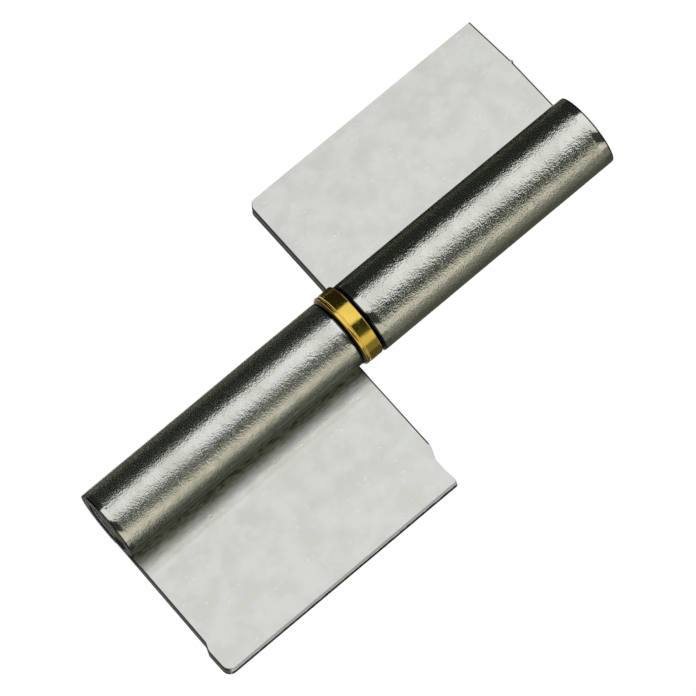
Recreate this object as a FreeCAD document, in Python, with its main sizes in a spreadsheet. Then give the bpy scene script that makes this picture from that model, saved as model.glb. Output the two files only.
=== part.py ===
import FreeCAD, Part
import os
import Sketcher

# Lift off hinge for welding on. Each half is one piece of sheet steel whose edge is rolled forward
# into a knuckle. The pin is fixed in the lower half, the frame leaf, and a loose brass ring
# carries the upper half, the door leaf, which lifts straight up off the pin.
# The pin's axis is Z. The knuckles stand forward, to -Y, and the weld faces look to +Y.
# The frame leaf reaches to +X and the door leaf to -X. The origin is the middle of the ring's height.

# Driving dimensions in millimetres: name, value, meaning
SIZES = (
    ("knuckle_diameter", 13.0, "outside of both rolled knuckles"),
    ("sheet_thickness", 2.0, "steel sheet of both leaves"),
    ("knuckle_length", 47.9, "each knuckle along the pin"),
    ("seam_gap", 0.15, "end of the curl to the front face of the leaf"),
    ("frame_curl_radius", 6.0, "outside of the frame knuckle from its front to the seam, drawn in there"),
    ("end_chamfer_length", 0.6, "knuckle end chamfer along the pin"),
    ("end_chamfer_depth", 0.15, "knuckle end chamfer across the wall"),
    ("leaf_reach", 30.0, "pin axis to the outer edge of each leaf"),
    ("frame_leaf_length", 47.6, "frame leaf along the pin, at its root"),
    ("door_leaf_length", 48.2, "door leaf along the pin, at its root"),
    ("edge_slant", 0.7, "run of a leaf's short edges along the pin, from root to outer edge"),
    ("frame_leaf_setback", 0.2, "frame leaf's root behind its knuckle's ring end"),
    ("frame_strip_width", 6.9, "outer strip of the frame leaf, cut in a second stroke"),
    ("frame_strip_length", 47.3, "outer strip of the frame leaf along the pin"),
    ("frame_strip_offset", 1.4, "outer strip's ring end towards the foot, from the leaf's root"),
    ("frame_strip_skew", 0.6, "how far the strip's line runs outwards at the foot and inwards at the ring"),
    ("frame_strip_foot_ramp", 1.4, "run of the cut's step at the foot end"),
    ("frame_strip_ring_ramp", 2.0, "run of the cut's step at the ring end"),
    ("frame_foot_corner", 1.5, "radius of the frame leaf's corner at the foot"),
    ("frame_ring_corner", 0.6, "radius of the frame leaf's corner at the ring"),
    ("door_leaf_setback", 0.05, "door leaf's root behind its knuckle's ring end"),
    ("door_leaf_overhang", 0.4, "door leaf past its knuckle's ring end, beside the ring"),
    ("door_ring_gap", 0.35, "that overhang clear of the ring, across the leaf"),
    ("door_strip_width", 10.0, "outer strip of the door leaf, cut aslant at its top"),
    ("door_strip_fall", 0.55, "fall of that slanted cut at the outer edge"),
    ("door_ring_corner", 1.4, "radius of the door leaf's corner at the ring"),
    ("pin_recess", 0.5, "pin's foot inside the frame knuckle's lower end"),
    ("pin_shoulder_drop", 0.5, "end of the pin's tight shank below the frame knuckle's ring end"),
    ("pin_standing", 40.0, "pin above the frame knuckle's ring end"),
    ("pin_clearance", 0.05, "pin to the door knuckle's bore, on the radius"),
    ("pin_foot_chamfer", 0.5, "chamfer round the pin's foot"),
    ("pin_tip_length", 2.0, "cone at the pin's tip, along the pin"),
    ("pin_tip_inset", 1.0, "cone at the pin's tip, on the radius"),
    ("ring_height", 4.2, "brass ring along the pin"),
    ("ring_diameter", 13.3, "outside of the brass ring"),
    ("ring_play", 0.4, "loose fit of the ring on the pin, on the radius"),
    ("ring_side_gap", 0.05, "ring to pin on the side that it has slid against"),
    ("ring_chamfer", 0.6, "outer chamfers of the ring"),
    ("ring_groove_place", 0.35, "turned groove above the ring's lower chamfer"),
    ("ring_groove_width", 0.3, "width of the turned groove"),
    ("ring_groove_depth", 0.12, "depth of the turned groove"),
)

# Expressions shared by the pieces
OUTER_RADIUS = "sizes.knuckle_diameter / 2"
BORE_RADIUS = "(sizes.knuckle_diameter / 2 - sizes.sheet_thickness)"
JOURNAL_RADIUS = f"({BORE_RADIUS} - sizes.pin_clearance)"
HALF_RING = "sizes.ring_height / 2"
FOOT_TO_MIDDLE = f"(sizes.knuckle_length + {HALF_RING})"
TOUCH = 1e-4

HORIZONTAL_AXIS, VERTICAL_AXIS = -1, -2
ORIGIN = (-1, 1)
START, END, CENTRE = 1, 2, 3


def make_sheet(doc):
    """Spreadsheet of the driving dimensions."""
    sheet = doc.addObject("Spreadsheet::Sheet", "sizes")
    for row, (alias, value, meaning) in enumerate(SIZES, 1):
        sheet.set(f"A{row}", meaning)
        sheet.set(f"B{row}", str(value))
        sheet.setAlias(f"B{row}", alias)
    doc.recompute()
    return sheet


def make_body(doc, label):
    body = doc.addObject("PartDesign::Body", label)
    body.Label = label
    return body


def make_sketch(body, name, role):
    """Empty sketch on one of the body's own origin planes."""
    sketch = body.newObject("Sketcher::SketchObject", name)
    plane = next(item for item in body.Origin.OriginFeatures if item.Role == role)
    sketch.AttachmentSupport = [(plane, "")]
    sketch.MapMode = "FlatFace"
    return sketch


def bind_constraint(sketch, kind, *places, size):
    """Dimensional constraint whose value is an expression."""
    number = sketch.addConstraint(Sketcher.Constraint(kind, *places, worked_out(sketch, size)))
    sketch.setExpression(f"Constraints[{number}]", size)


def worked_out(item, expression):
    return float(item.evalExpression(expression))


def draw_outline(sketch, points):
    """Closed outline of straight lines through points given as pairs of expressions."""
    corners = [FreeCAD.Vector(worked_out(sketch, x), worked_out(sketch, y), 0) for x, y in points]
    count = len(corners)
    for index, corner in enumerate(corners):
        sketch.addGeometry(Part.LineSegment(corner, corners[(index + 1) % count]))
    for index, (x, y) in enumerate(points):
        sketch.addConstraint(Sketcher.Constraint("Coincident", index, END, (index + 1) % count, START))
        for kind, axis, size in (("DistanceX", VERTICAL_AXIS, x), ("DistanceY", HORIZONTAL_AXIS, y)):
            if size == "0":
                sketch.addConstraint(Sketcher.Constraint("PointOnObject", index, START, axis))
            else:
                bind_constraint(sketch, kind, *ORIGIN, index, START, size=size)


def edge_names(feature, wanted):
    """Names of the feature's edges that pass a test."""
    return [f"Edge{number}" for number, edge in enumerate(feature.Shape.Edges, 1) if wanted(edge)]


def draw_curl(sketch, tip_radius):
    """Section of the rolled knuckle: from the leaf round the back to its front, then on to the seam."""
    outer = worked_out(sketch, OUTER_RADIUS)
    bore = worked_out(sketch, BORE_RADIUS)
    tip = worked_out(sketch, tip_radius)
    seam_height = f"{BORE_RADIUS} - sizes.seam_gap"
    normal = FreeCAD.Vector(0, 0, 1)
    back = FreeCAD.Vector(0, outer, 0)
    front = -back
    tip_middle = FreeCAD.Vector(0, tip - outer, 0)
    rise = worked_out(sketch, seam_height)
    run = (tip**2 - (rise - tip_middle.y) ** 2) ** 0.5
    seam = FreeCAD.Vector(run, rise, 0)

    whole = Part.Circle(FreeCAD.Vector(0, 0, 0), normal, outer)
    drawn_in = Part.Circle(tip_middle, normal, tip)
    hole = Part.Circle(FreeCAD.Vector(0, 0, 0), normal, bore)
    full_turn = 2 * whole.parameter(FreeCAD.Vector(-outer, 0, 0))
    rolled = sketch.addGeometry(Part.ArcOfCircle(whole, whole.parameter(back), whole.parameter(front)))
    closing = sketch.addGeometry(
        Part.ArcOfCircle(drawn_in, drawn_in.parameter(front), full_turn + drawn_in.parameter(seam))
    )
    inside = sketch.addGeometry(
        Part.ArcOfCircle(hole, hole.parameter(back), full_turn + hole.parameter(seam))
    )
    tip_face = sketch.addGeometry(Part.LineSegment(seam, seam * (bore / seam.Length)))
    root = sketch.addGeometry(Part.LineSegment(back * (bore / outer), back))
    for arc, radius in ((rolled, OUTER_RADIUS), (closing, tip_radius), (inside, BORE_RADIUS)):
        sketch.addConstraint(Sketcher.Constraint("PointOnObject", arc, START, VERTICAL_AXIS))
        bind_constraint(sketch, "Radius", arc, size=radius)
    for arc in (rolled, inside):
        sketch.addConstraint(Sketcher.Constraint("Coincident", arc, CENTRE, *ORIGIN))
    sketch.addConstraint(Sketcher.Constraint("PointOnObject", closing, CENTRE, VERTICAL_AXIS))
    for one, other in (
        ((rolled, END), (closing, START)),
        ((closing, END), (tip_face, START)),
        ((tip_face, END), (inside, END)),
        ((inside, START), (root, START)),
        ((root, END), (rolled, START)),
    ):
        sketch.addConstraint(Sketcher.Constraint("Coincident", *one, *other))
    sketch.addConstraint(Sketcher.Constraint("PointOnObject", *ORIGIN, tip_face))
    bind_constraint(sketch, "DistanceY", *ORIGIN, tip_face, START, size=seam_height)


def slanted(place):
    """How far a slanting short edge has run along the pin at this distance from the pin."""
    return f"sizes.edge_slant * {place} / sizes.leaf_reach"


def frame_outline():
    """Frame leaf seen from the front. Its outer strip was cut in a second stroke and sits lower."""
    ring_end = "(sizes.knuckle_length - sizes.frame_leaf_setback)"
    foot_end = f"({ring_end} - sizes.frame_leaf_length)"
    strip_line = "(sizes.leaf_reach - sizes.frame_strip_width)"
    foot_step = f"({strip_line} + sizes.frame_strip_skew)"
    ring_step = f"({strip_line} - sizes.frame_strip_skew)"
    strip_ring_end = f"({ring_end} - sizes.frame_strip_offset)"
    strip_foot_end = f"({strip_ring_end} - sizes.frame_strip_length)"
    return (
        ("0", foot_end),
        (foot_step, f"{foot_end} - {slanted(foot_step)}"),
        (f"{foot_step} + sizes.frame_strip_foot_ramp", strip_foot_end),
        ("sizes.leaf_reach", strip_foot_end),
        ("sizes.leaf_reach", strip_ring_end),
        (f"{ring_step} + sizes.frame_strip_ring_ramp", strip_ring_end),
        (ring_step, f"{ring_end} - {slanted(ring_step)}"),
        ("0", ring_end),
    )


def door_outline():
    """Door leaf seen from the front, the ring end up. Its ring edge overhangs the knuckle beside the ring."""
    root_end = "(sizes.knuckle_length - sizes.door_leaf_setback)"
    ring_end = "(sizes.knuckle_length + sizes.door_leaf_overhang)"
    top_end = f"({ring_end} - sizes.door_leaf_length)"
    beside_ring = "(sizes.ring_diameter / 2 + sizes.ring_play - sizes.ring_side_gap + sizes.door_ring_gap)"
    strip_start = "(sizes.leaf_reach - sizes.door_strip_width)"
    return (
        ("0", top_end),
        (strip_start, f"{top_end} - {slanted(strip_start)}"),
        ("sizes.leaf_reach", f"{top_end} - sizes.edge_slant + sizes.door_strip_fall"),
        ("sizes.leaf_reach", f"{ring_end} - sizes.edge_slant"),
        (beside_ring, f"{ring_end} - {slanted(beside_ring)}"),
        (beside_ring, root_end),
        ("0", root_end),
    )


def round_corner(body, base, name, corner, radius):
    """Rounds the leaf's corner that stands at a point of its outline."""
    across, along = (worked_out(body, size) for size in corner)

    def stands_there(edge):
        return all(abs(end.X - across) < TOUCH and abs(end.Z - along) < TOUCH for end in edge.Vertexes)

    fillet = body.newObject("PartDesign::Fillet", name)
    fillet.Base = (base, edge_names(base, stands_there))
    fillet.setExpression("Radius", radius)
    return fillet


def make_leaf(doc, label, tip_radius, outline, corners):
    """One half of the hinge: knuckle from its far end, z 0, to its ring end, with the leaf to +X."""
    body = make_body(doc, label)
    section = make_sketch(body, f"{label}_section", "XY_Plane")
    draw_curl(section, tip_radius)
    knuckle = body.newObject("PartDesign::Pad", f"{label}_knuckle")
    knuckle.Profile = section
    knuckle.setExpression("Length", "sizes.knuckle_length")
    doc.recompute()

    bore = worked_out(body, BORE_RADIUS)

    def is_outer_rim(edge):
        return hasattr(edge.Curve, "Radius") and edge.Curve.Radius > bore + TOUCH

    chamfer = body.newObject("PartDesign::Chamfer", f"{label}_end_chamfers")
    chamfer.Base = (knuckle, edge_names(knuckle, is_outer_rim))
    chamfer.ChamferType = "Two distances"
    chamfer.setExpression("Size", "sizes.end_chamfer_length")
    chamfer.setExpression("Size2", "sizes.end_chamfer_depth")
    doc.recompute()

    blank = make_sketch(body, f"{label}_outline", "XZ_Plane")
    blank.setExpression("AttachmentOffset.Base.z", f"-{OUTER_RADIUS}")
    draw_outline(blank, outline)
    plate = body.newObject("PartDesign::Pad", f"{label}_plate")
    plate.Profile = blank
    plate.setExpression("Length", "sizes.sheet_thickness")
    doc.recompute()

    last = plate
    for number, (corner, radius) in enumerate(corners, 1):
        last = round_corner(body, last, f"{label}_corner_{number}", corner, radius)
        doc.recompute()
    return body


def make_turned(doc, label, profile):
    """Piece turned about the pin's axis, from its half profile."""
    body = make_body(doc, label)
    sketch = make_sketch(body, f"{label}_profile", "XZ_Plane")
    draw_outline(sketch, profile)
    turned = body.newObject("PartDesign::Revolution", f"{label}_turned")
    turned.Profile = sketch
    turned.ReferenceAxis = (sketch, ["V_Axis"])
    return body


def pin_profile():
    """Pin from its foot, z 0: a shank tight in the frame knuckle, then a journal and a coned tip."""
    ring_end = "(sizes.knuckle_length - sizes.pin_recess)"
    shank_end = f"({ring_end} - sizes.pin_shoulder_drop)"
    tip = f"({ring_end} + sizes.pin_standing)"
    return (
        ("0", "0"),
        (f"{BORE_RADIUS} - sizes.pin_foot_chamfer", "0"),
        (BORE_RADIUS, "sizes.pin_foot_chamfer"),
        (BORE_RADIUS, shank_end),
        (JOURNAL_RADIUS, shank_end),
        (JOURNAL_RADIUS, f"{tip} - sizes.pin_tip_length"),
        (f"{JOURNAL_RADIUS} - sizes.pin_tip_inset", tip),
        ("0", tip),
    )


def ring_profile():
    """Brass ring from its lower face, z 0, with chamfered rims and one turned groove."""
    inside = f"({JOURNAL_RADIUS} + sizes.ring_play)"
    outside = "(sizes.ring_diameter / 2)"
    groove = "(sizes.ring_chamfer + sizes.ring_groove_place)"
    return (
        (inside, "0"),
        (f"{outside} - sizes.ring_chamfer", "0"),
        (outside, "sizes.ring_chamfer"),
        (outside, groove),
        (f"{outside} - sizes.ring_groove_depth", f"{groove} + sizes.ring_groove_width / 2"),
        (outside, f"{groove} + sizes.ring_groove_width"),
        (outside, "sizes.ring_height - sizes.ring_chamfer"),
        (f"{outside} - sizes.ring_chamfer", "sizes.ring_height"),
        (inside, "sizes.ring_height"),
    )


def build(doc):
    """All four pieces at their places, by name."""
    make_sheet(doc)
    frame_points = frame_outline()
    frame_leaf = make_leaf(
        doc,
        "frame_leaf",
        "sizes.frame_curl_radius",
        frame_points,
        ((frame_points[3], "sizes.frame_foot_corner"), (frame_points[4], "sizes.frame_ring_corner")),
    )
    frame_leaf.setExpression("Placement.Base.z", f"-{FOOT_TO_MIDDLE}")

    door_points = door_outline()
    door_leaf = make_leaf(
        doc, "door_leaf", OUTER_RADIUS, door_points, ((door_points[3], "sizes.door_ring_corner"),)
    )
    door_leaf.Placement = FreeCAD.Placement(
        FreeCAD.Vector(0, 0, 0), FreeCAD.Rotation(FreeCAD.Vector(0, 1, 0), 180)
    )
    door_leaf.setExpression("Placement.Base.z", FOOT_TO_MIDDLE)

    hinge_pin = make_turned(doc, "hinge_pin", pin_profile())
    hinge_pin.setExpression("Placement.Base.z", f"sizes.pin_recess - {FOOT_TO_MIDDLE}")

    brass_ring = make_turned(doc, "brass_ring", ring_profile())
    brass_ring.setExpression("Placement.Base.x", "sizes.ring_side_gap - sizes.ring_play")
    brass_ring.setExpression("Placement.Base.z", f"-{HALF_RING}")
    doc.recompute()
    return frame_leaf, door_leaf, hinge_pin, brass_ring


def check(doc, pieces):
    """Stops if any step failed or any piece is not one sound solid."""
    for item in doc.Objects:
        if "Invalid" in item.State or "Error" in item.State:
            raise RuntimeError(f"{item.Name} failed: {item.State}")
    for piece in pieces:
        shape = piece.Shape
        if shape.isNull() or not shape.isValid() or len(shape.Solids) != 1:
            raise RuntimeError(f"{piece.Label} is not one sound solid")


def main():
    doc = FreeCAD.newDocument("lift_off_hinge")
    pieces = build(doc)
    check(doc, pieces)
    os.makedirs("parts", exist_ok=True)
    for piece in pieces:
        piece.Shape.exportStep(f"parts/{piece.Label}.step")
        box = piece.Shape.BoundBox
        print(f"{piece.Label}: {piece.Shape.Volume:.1f} mm3, z {box.ZMin:.2f} to {box.ZMax:.2f}")


main()
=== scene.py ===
"""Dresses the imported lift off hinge: two rolled steel leaves, the turned pin and the brass bearing ring."""

import math

import bmesh
import bpy
from bpy.props import FloatProperty, FloatVectorProperty, IntProperty, PointerProperty
from mathutils import Matrix, Vector, noise


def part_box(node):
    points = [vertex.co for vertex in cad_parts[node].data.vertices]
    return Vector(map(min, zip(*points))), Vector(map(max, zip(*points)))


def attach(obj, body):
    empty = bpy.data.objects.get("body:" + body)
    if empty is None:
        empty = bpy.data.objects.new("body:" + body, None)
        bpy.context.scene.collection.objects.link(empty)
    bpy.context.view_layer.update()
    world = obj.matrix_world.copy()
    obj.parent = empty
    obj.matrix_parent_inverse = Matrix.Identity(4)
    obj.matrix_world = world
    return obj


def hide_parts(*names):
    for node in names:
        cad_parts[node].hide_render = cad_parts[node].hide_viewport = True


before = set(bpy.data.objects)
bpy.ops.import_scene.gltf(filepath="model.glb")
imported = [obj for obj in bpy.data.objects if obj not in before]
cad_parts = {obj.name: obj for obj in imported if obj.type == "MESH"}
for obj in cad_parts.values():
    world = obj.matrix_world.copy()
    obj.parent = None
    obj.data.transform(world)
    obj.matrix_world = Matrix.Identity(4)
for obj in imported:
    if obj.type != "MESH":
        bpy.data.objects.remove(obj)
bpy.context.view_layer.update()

bl_info = {
    "name": "Lift Off Hinge",
    "version": (1, 0, 0),
    "blender": (4, 5, 0),
    "location": "View3D > Sidebar > Hinge",
    "description": "Rolls, turns and finishes the pieces of a weld-on lift off hinge over its packed frame",
    "category": "Object",
}

MM = 0.001
FRAME_LOW, FRAME_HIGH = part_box("frame_leaf")
RING_LOW, RING_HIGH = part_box("brass_ring")
PIN_LOW, PIN_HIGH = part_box("hinge_pin")
UP = Vector((0.0, 0.0, 1.0))
OUTWARD = Vector((1.0, 0.0, 0.0))
TOUCH = 1e-7

# Shares of other sizes
CURL_FADE = 0.6
HOLLOW_START = 0.6
GROOVE_LIP = 0.25
WAVE_SLACK = 5
SMALL_CORNER = 4
TURN_SLACK = 1e-4

# Places in the noise from which each leaf takes its swells
FRAME_SEED = Vector((3.1, 0.4, 7.7))
DOOR_SEED = Vector((9.3, 5.2, 1.9))

# Marks that the sheet carries from point to point
# The burr, nook and flank layers carry painted shade
SHEET_LAYERS = ("curl", "polish", "share", "closing", "nook", "burr", "peel", "flank", "satin", "front")

# Places of the cut edge's and the sawn end's materials on a leaf
CUT_INDEX = 1
END_INDEX = 2

# Roughness from the clean to the blotched parts of each metal
CUT_GLOSS = (0.34, 0.60)
END_GLOSS = (0.36, 0.50)
PIN_GLOSS = (0.30, 0.42)
BRASS_GLOSS = (0.10, 0.17)

# The torn part of a sheared edge, in shares of the sheet's thickness from its back
TORN_FULL = 0.32
TORN_NONE = 0.40
TORN_RAGGED = 0.1
# Painted shade on the short ends is a little lighter across this middle share of the thickness
MIDDLE_HALF = 0.2
MIDDLE_DARK = 0.86
# Span over which a cut face turns from a long edge to a short end
END_TURN = (0.3, 0.7)

# Streaks in the nook's painted shade, and the strength of the painted shade on the ring's rims, the pin's
# recessed foot and the sheet's short ends
STREAK_SCALE = 3200.0
STREAK_STRETCH = (1.0, 1.0, 0.25)
STREAK_STRENGTH = (0.75, 1.15)
RIM_SHADE = 0.99
FOOT_SHADE = 0.92
EDGE_SHADE_STRENGTH = 0.95

# Texture of the shared metal marks
NOISE_ROUGHNESS = 0.55
BROAD_SCALE = 0.3
BROAD_SHARE = 0.8
CLOUD_SPAN = (0.35, 0.65)
SPECK_RARITY = 0.72

# Studio cards that only reflections see, upright on circles round the hinge:
# name, circle, step in from it, azimuths and elevations in degrees, colour
CARD_STEP = 0.01
CARDS = (
    ("card_left", "card_radius", 0, (-27.8, -100.0), (-22.0, 46.0), "dark_card"),
    ("card_far_left", "card_radius", 0, (-100.2, -140.0), (-3.0, 26.0), "dusk_card"),
    ("card_warm", "card_radius", 0, (45.0, 102.0), (-12.0, 36.0), "warm_card"),
    ("card_right", "card_radius", 0, (102.2, 132.0), (-12.0, 40.0), "dim_card"),
    ("card_dusk", "card_radius", 0, (132.2, 205.0), (-3.0, 26.0), "dusk_card"),
    ("card_back_low", "card_radius", 0, (192.0, 216.0), (-16.0, -3.2), "dark_card"),
    ("card_stripe_high", "stripe_radius", 1, (29.5, 76.5), (11.2, 15.9), "dark_card"),
    ("card_warm_high", "card_radius", 1, (77.0, 93.0), (10.4, 16.0), "pale_card"),
    ("card_brown_left", "card_radius", 1, (-28.2, -100.0), (8.4, 9.9), "umber_card"),
    ("card_brown_stripe", "stripe_radius", 1, (31.5, 72.0), (8.4, 9.9), "brown_card"),
)
CARD_FACET = math.radians(4.0)
STRIPE_AZIMUTHS = (20.5, 63.0)
STRIPE_ELEVATIONS = (-12.0, 30.0)


def length(label, meaning, value):
    """A size in metres for a property group."""
    return FloatProperty(name=label, description=meaning, default=value, unit="LENGTH", precision=5)


def amount(label, meaning, value):
    """A plain number for a property group."""
    return FloatProperty(name=label, description=meaning, default=value, precision=4)


def count(label, meaning, value, least):
    """A whole number for a property group."""
    return IntProperty(name=label, description=meaning, default=value, min=least)


def angle(label, meaning, value):
    """An angle for a property group, written in degrees."""
    return FloatProperty(name=label, description=meaning, default=math.radians(value), subtype="ANGLE")


def tint(label, meaning, value):
    """A colour for a property group."""
    return FloatVectorProperty(
        name=label, description=meaning, default=value, size=3, min=0.0, max=1.0, subtype="COLOR",
    )


# Sizes and finishes a user would change

class HingeSheet(bpy.types.PropertyGroup):
    """The sheet both leaves are sheared from, and how it is rolled."""

    knuckle_diameter: length("Knuckle Diameter", "Outside of the rolled knuckle", -2 * FRAME_LOW.y)
    knuckle_length: length("Knuckle Length", "Length of one knuckle", 47.9 * MM)
    sheet_thickness: length("Sheet Thickness", "Thickness of the steel sheet", 2.0 * MM)
    seam_gap: length("Seam Gap", "Gap between the curl's end and the leaf", 0.15 * MM)
    chamfer_length: length("Chamfer Length", "Knuckle end chamfer along the axis", 0.3 * MM)
    chamfer_depth: length("Chamfer Depth", "Knuckle end chamfer across the axis", 0.05 * MM)
    leaf_reach: length("Leaf Reach", "Pin axis to the leaf's outer edge", FRAME_HIGH.x)
    edge_slant: length("Edge Slant", "How far the short edges run off square over the reach", 0.7 * MM)
    edge_round: length("Edge Round", "Largest rounding of the sheared edges", 0.1 * MM)
    round_angle: angle("Round Angle", "Edges sharper than this are rounded", 30.0)
    polish_fade: length("Polish Fade", "Width over which a polished knuckle end meets the grain", 0.5 * MM)
    waviness: length("Waviness", "How far the sheet stands off a true surface", 0.02 * MM)
    wave_length: length("Wave Length", "Distance from one swell of the sheet to the next", 11.0 * MM)
    root_ramp: length("Root Ramp", "Width of the step from knuckle end to leaf edge", 0.3 * MM)
    roll_steps: count("Roll Steps", "Facets round the curl", 104, 24)
    rows: count("Rows", "Rows of faces along the pin", 48, 8)
    columns: count("Columns", "Columns of faces across a leaf", 30, 8)
    corner_steps: count("Corner Steps", "Facets round a corner", 4, 2)


class HingeFrameLeaf(bpy.types.PropertyGroup):
    """The lower leaf's outline and the painted shade in the nook where its curl meets the leaf."""

    curl_radius: length("Curl Radius", "Outside of the knuckle from its front to the seam", 6.0 * MM)
    leaf_length: length("Leaf Length", "Length of the leaf along the pin", 47.6 * MM)
    setback: length("Setback", "Knuckle's ring end to the leaf's root", 0.2 * MM)
    strip_width: length("Strip Width", "Outer strip cut by the second stroke", 6.9 * MM)
    strip_length: length("Strip Length", "Length of the outer strip along the pin", 47.3 * MM)
    strip_offset: length("Strip Offset", "How far the strip's ring end is shifted to the foot", 1.4 * MM)
    strip_skew: length("Strip Skew", "Lean of the strip's line, out at the foot and in at the ring", 0.6 * MM)
    foot_ramp: length("Foot Ramp", "Length of the strip's step at the foot", 1.4 * MM)
    ring_ramp: length("Ring Ramp", "Length of the strip's step at the ring end", 2.3 * MM)
    ring_hollow: length("Ring Hollow", "How hollow the strip's ring end is", 0.16 * MM)
    foot_corner: length("Foot Corner", "Corner radius at the foot", 1.5 * MM)
    ring_corner: length("Ring Corner", "Corner radius at the ring end", 0.6 * MM)
    foot_lean: length("Foot Lean", "How far shearing drags the front face in at the foot", 0.2 * MM)
    ring_lean: length("Ring Lean", "How far shearing drags the front face in at the ring end", 0.05 * MM)
    # The stain, the oil film and the clean band below are painted shade in the nook where the curl's end
    # meets the leaf
    curl_nook_shade: amount("Nook Stain", "Strength of the grime on the curl's end", 0.85)
    nook_shade: amount("Nook Shade", "Strength of the grime on the leaf beside the seam", 0.82)
    flank: amount("Flank", "Strength of the oil film on the curl's end", 1.0)
    flank_shade_reach: length("Film Reach", "How far the oil film lies on the curl, from its end", 8.1 * MM)
    flank_shade_fade: length("Film Fade", "Width over which the oil film thins out", 1.6 * MM)
    nook_start: length("Nook Start", "Rubbed clean at the curl's end, up to here", 4.9 * MM)
    nook_turn: length("Nook Turn", "How far the grime lies full on the curl, from its end", 6.0 * MM)
    nook_edge: length("Nook Edge", "Width over which the grime thins out on the curl", 1.0 * MM)
    nook_reach: length("Nook Reach", "Pin axis to the end of the grime on the leaf", 8.2 * MM)
    nook_fade: length("Nook Fade", "Width over which the grime thins out on the leaf", 3.2 * MM)
    # The burr below is a dark line of painted shade along the sheet's edges
    edge_shade_end: length("Burr End", "Pin axis to the end of the dark burr on the ring edge", 22.3 * MM)
    side_edge_shade: amount("Side Burr", "Strength of the burr on the outer long edge", 0.16)
    peel: amount("Peel", "Depth of the orange peel on this knuckle", 1.1)
    knuckle_roughness: amount("Knuckle Roughness", "Roughness of this knuckle", 0.22)
    foot_polish: length("Foot Polish", "Smooth band round the knuckle's foot", 0.8 * MM)
    ring_polish: length("Ring Polish", "Smooth band round the knuckle's ring end", 0.4 * MM)


class HingeDoorLeaf(bpy.types.PropertyGroup):
    """The upper leaf's outline."""

    curl_radius: length("Curl Radius", "Outside of the knuckle from its front to the seam", 6.5 * MM)
    leaf_length: length("Leaf Length", "Length of the leaf along the pin", 48.2 * MM)
    setback: length("Setback", "Knuckle's ring end to the leaf's root", 0.05 * MM)
    overhang: length("Overhang", "Leaf past its knuckle's ring end, beside the ring", 0.4 * MM)
    overhang_start: length("Overhang Start", "Pin axis to the start of the overhang", 7.35 * MM)
    overhang_ramp: length("Overhang Ramp", "Width of the step to the overhang", 0.1 * MM)
    strip_width: length("Strip Width", "Outer strip cut by the second stroke", 10.0 * MM)
    strip_fall: length("Strip Fall", "How far the strip's far edge falls back", 0.55 * MM)
    tooth_width: length("Tooth Width", "Width of the burr where the two strokes meet", 0.45 * MM)
    tooth_height: length("Tooth Height", "Height of the burr where the two strokes meet", 0.25 * MM)
    foot_corner: length("Far Corner", "Corner radius at the far end", 0.12 * MM)
    ring_corner: length("Ring Corner", "Corner radius at the ring end", 1.4 * MM)
    foot_lean: length("Far Lean", "How far shearing drags the front face in at the far end", 0.05 * MM)
    ring_lean: length("Ring Lean", "How far shearing drags the front face in at the ring end", 0.3 * MM)
    # The burr below is a dark line of painted shade along the sheet's edges
    edge_shade_end: length("Burr End", "Pin axis to the end of the dark burr on the ring edge", 30.0 * MM)
    side_edge_shade: amount("Side Burr", "Strength of the burr on the outer long edge", 0.18)
    peel: amount("Peel", "Depth of the orange peel on this knuckle", 1.2)
    knuckle_roughness: amount("Knuckle Roughness", "Roughness of this knuckle", 0.16)
    foot_polish: length("Far Polish", "Smooth band round the knuckle's far end", 1.2 * MM)
    ring_polish: length("Ring Polish", "Smooth band round the knuckle's ring end", 1.1 * MM)


class HingeTurned(bpy.types.PropertyGroup):
    """The turned pin and ring."""

    facets: count("Facets", "Facets round a turned piece", 144, 24)
    edge_break: length("Edge Break", "Rounding of turned edges", 0.06 * MM)
    ring_bore: length("Ring Bore", "Hole through the ring", 9.7 * MM)
    ring_chamfer: length("Ring Chamfer", "Chamfer on the ring's rims", 0.6 * MM)
    groove_low: length("Groove Low", "Foot side of the turned line, from the ring's middle", -1.15 * MM)
    groove_high: length("Groove High", "Far side of the turned line, from the ring's middle", -0.85 * MM)
    groove_depth: length("Groove Depth", "Depth of the turned line", 0.12 * MM)
    shank_end: length("Shank End", "Height where the fixed shank ends", -2.6 * MM)
    pin_clearance: length("Pin Clearance", "How much smaller the free end is than the bore", 0.05 * MM)
    foot_chamfer: length("Foot Chamfer", "Chamfer on the pin's foot", 0.5 * MM)
    tip_length: length("Tip Length", "Length of the pin's tapered tip", 2.0 * MM)
    tip_inset: length("Tip Inset", "How much the tip tapers on each side", 1.0 * MM)


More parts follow.
